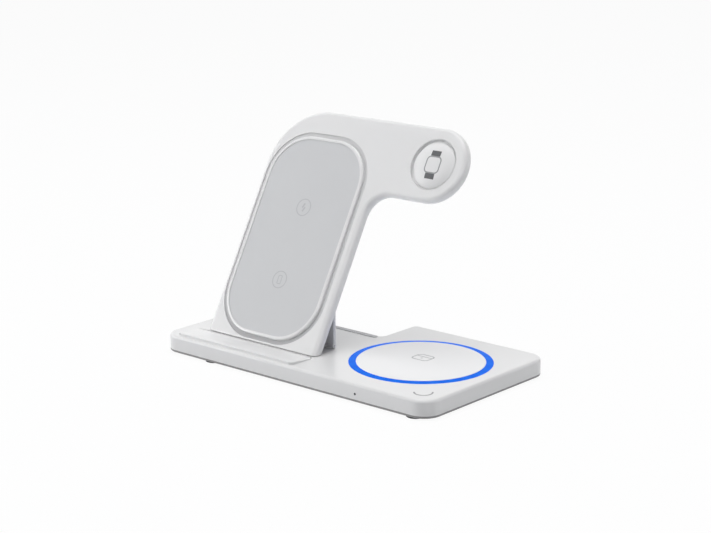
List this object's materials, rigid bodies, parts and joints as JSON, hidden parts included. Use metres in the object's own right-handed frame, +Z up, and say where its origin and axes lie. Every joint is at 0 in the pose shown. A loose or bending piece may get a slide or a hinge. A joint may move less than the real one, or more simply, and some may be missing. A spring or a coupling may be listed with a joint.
{
  "type": "three in one wireless charger",
  "caption": "Desk charger with a low lit base pad for an earbud case and a leaning, fold-back panel that carries a padded phone face and a watch charger on a side arm.",
  "frame": {"origin": "middle of the base's footprint, on the table under the feet", "axes": "+X to the right along the base, +Y to the back, +Z up"},
  "size_m": [0.1696, 0.0932, 0.1158],
  "materials": {
    "shell_white": "fine satin moulding",
    "panel_white": "fine satin moulding",
    "cover_grey": "fine spark-eroded texture",
    "foot_rubber": "matt",
    "screw_steel": "zinc plated",
    "ballast_steel": "raw plate",
    "board_green": "solder mask",
    "socket_steel": "drawn shell",
    "pipe_clear": "clear",
    "copper": "enamelled wire",
    "ledge_white": "satin",
    "strip_grey": "matt",
    "cap_white": "polished",
    "ring_blue": "light guide, lit blue",
    "ferrite": "sintered",
    "hinge_grey": "satin",
    "bracket_steel": "blackened",
    "flap_grey": "bead blasted, bright ends",
    "pin_steel": "ground",
    "rim_white": "satin gloss",
    "pad_grey": "soft-touch silicone",
    "dish_white": "polished",
    "magnet_steel": "nickel plated"
  },
  "bodies": {
    "base": {"base_top_shell": "shell_white", "base_bottom_cover": "cover_grey", "foot_front_left": "foot_rubber", "foot_front_right": "foot_rubber", "foot_rear_right": "foot_rubber", "foot_rear_middle": "foot_rubber", "foot_rear_left": "foot_rubber", "base_screws": "screw_steel", "ballast_plate": "ballast_steel", "main_board": "board_green", "usb_c_socket": "socket_steel", "indicator_light_pipe": "pipe_clear", "touch_electrode": "copper", "phone_ledge": "ledge_white", "rear_rest_strip": "strip_grey", "earbud_pad": "cap_white", "light_ring": "ring_blue", "ring_light_board": "board_green", "earbud_coil": "copper", "earbud_ferrite": "ferrite", "hinge_cover": "hinge_grey", "hinge_bracket_left": "bracket_steel", "hinge_bracket_right": "bracket_steel"},
    "panel": {"panel_front_shell": "panel_white", "panel_rear_cover": "panel_white", "hinge_pin_left": "pin_steel", "hinge_pin_right": "pin_steel", "panel_screws": "screw_steel", "phone_pad_frame": "rim_white", "phone_pad": "pad_grey", "phone_coil": "copper", "phone_ferrite": "ferrite", "panel_board": "board_green", "watch_ring": "rim_white", "watch_dish": "dish_white", "watch_coil": "copper", "watch_magnet": "magnet_steel"},
    "flap": {"support_flap": "flap_grey", "flap_pin_left": "pin_steel", "flap_pin_right": "pin_steel"}
  },
  "joints": [
    {"name": "panel_fold", "type": "hinge", "parent": "base", "child": "panel", "pos_m": [0, -0.02336, 0.01285], "axis": [-1, 0, 0], "range_deg": [0, 61]},
    {"name": "flap_fold", "type": "hinge", "parent": "base", "child": "flap", "pos_m": [0, -0.01115, 0.01075], "axis": [-1, 0, 0], "range_deg": [0, 90]}
  ],
  "couplings": [
    {"joint": "flap_fold", "follows": "panel_fold", "ratio": 1.4754}
  ]
}
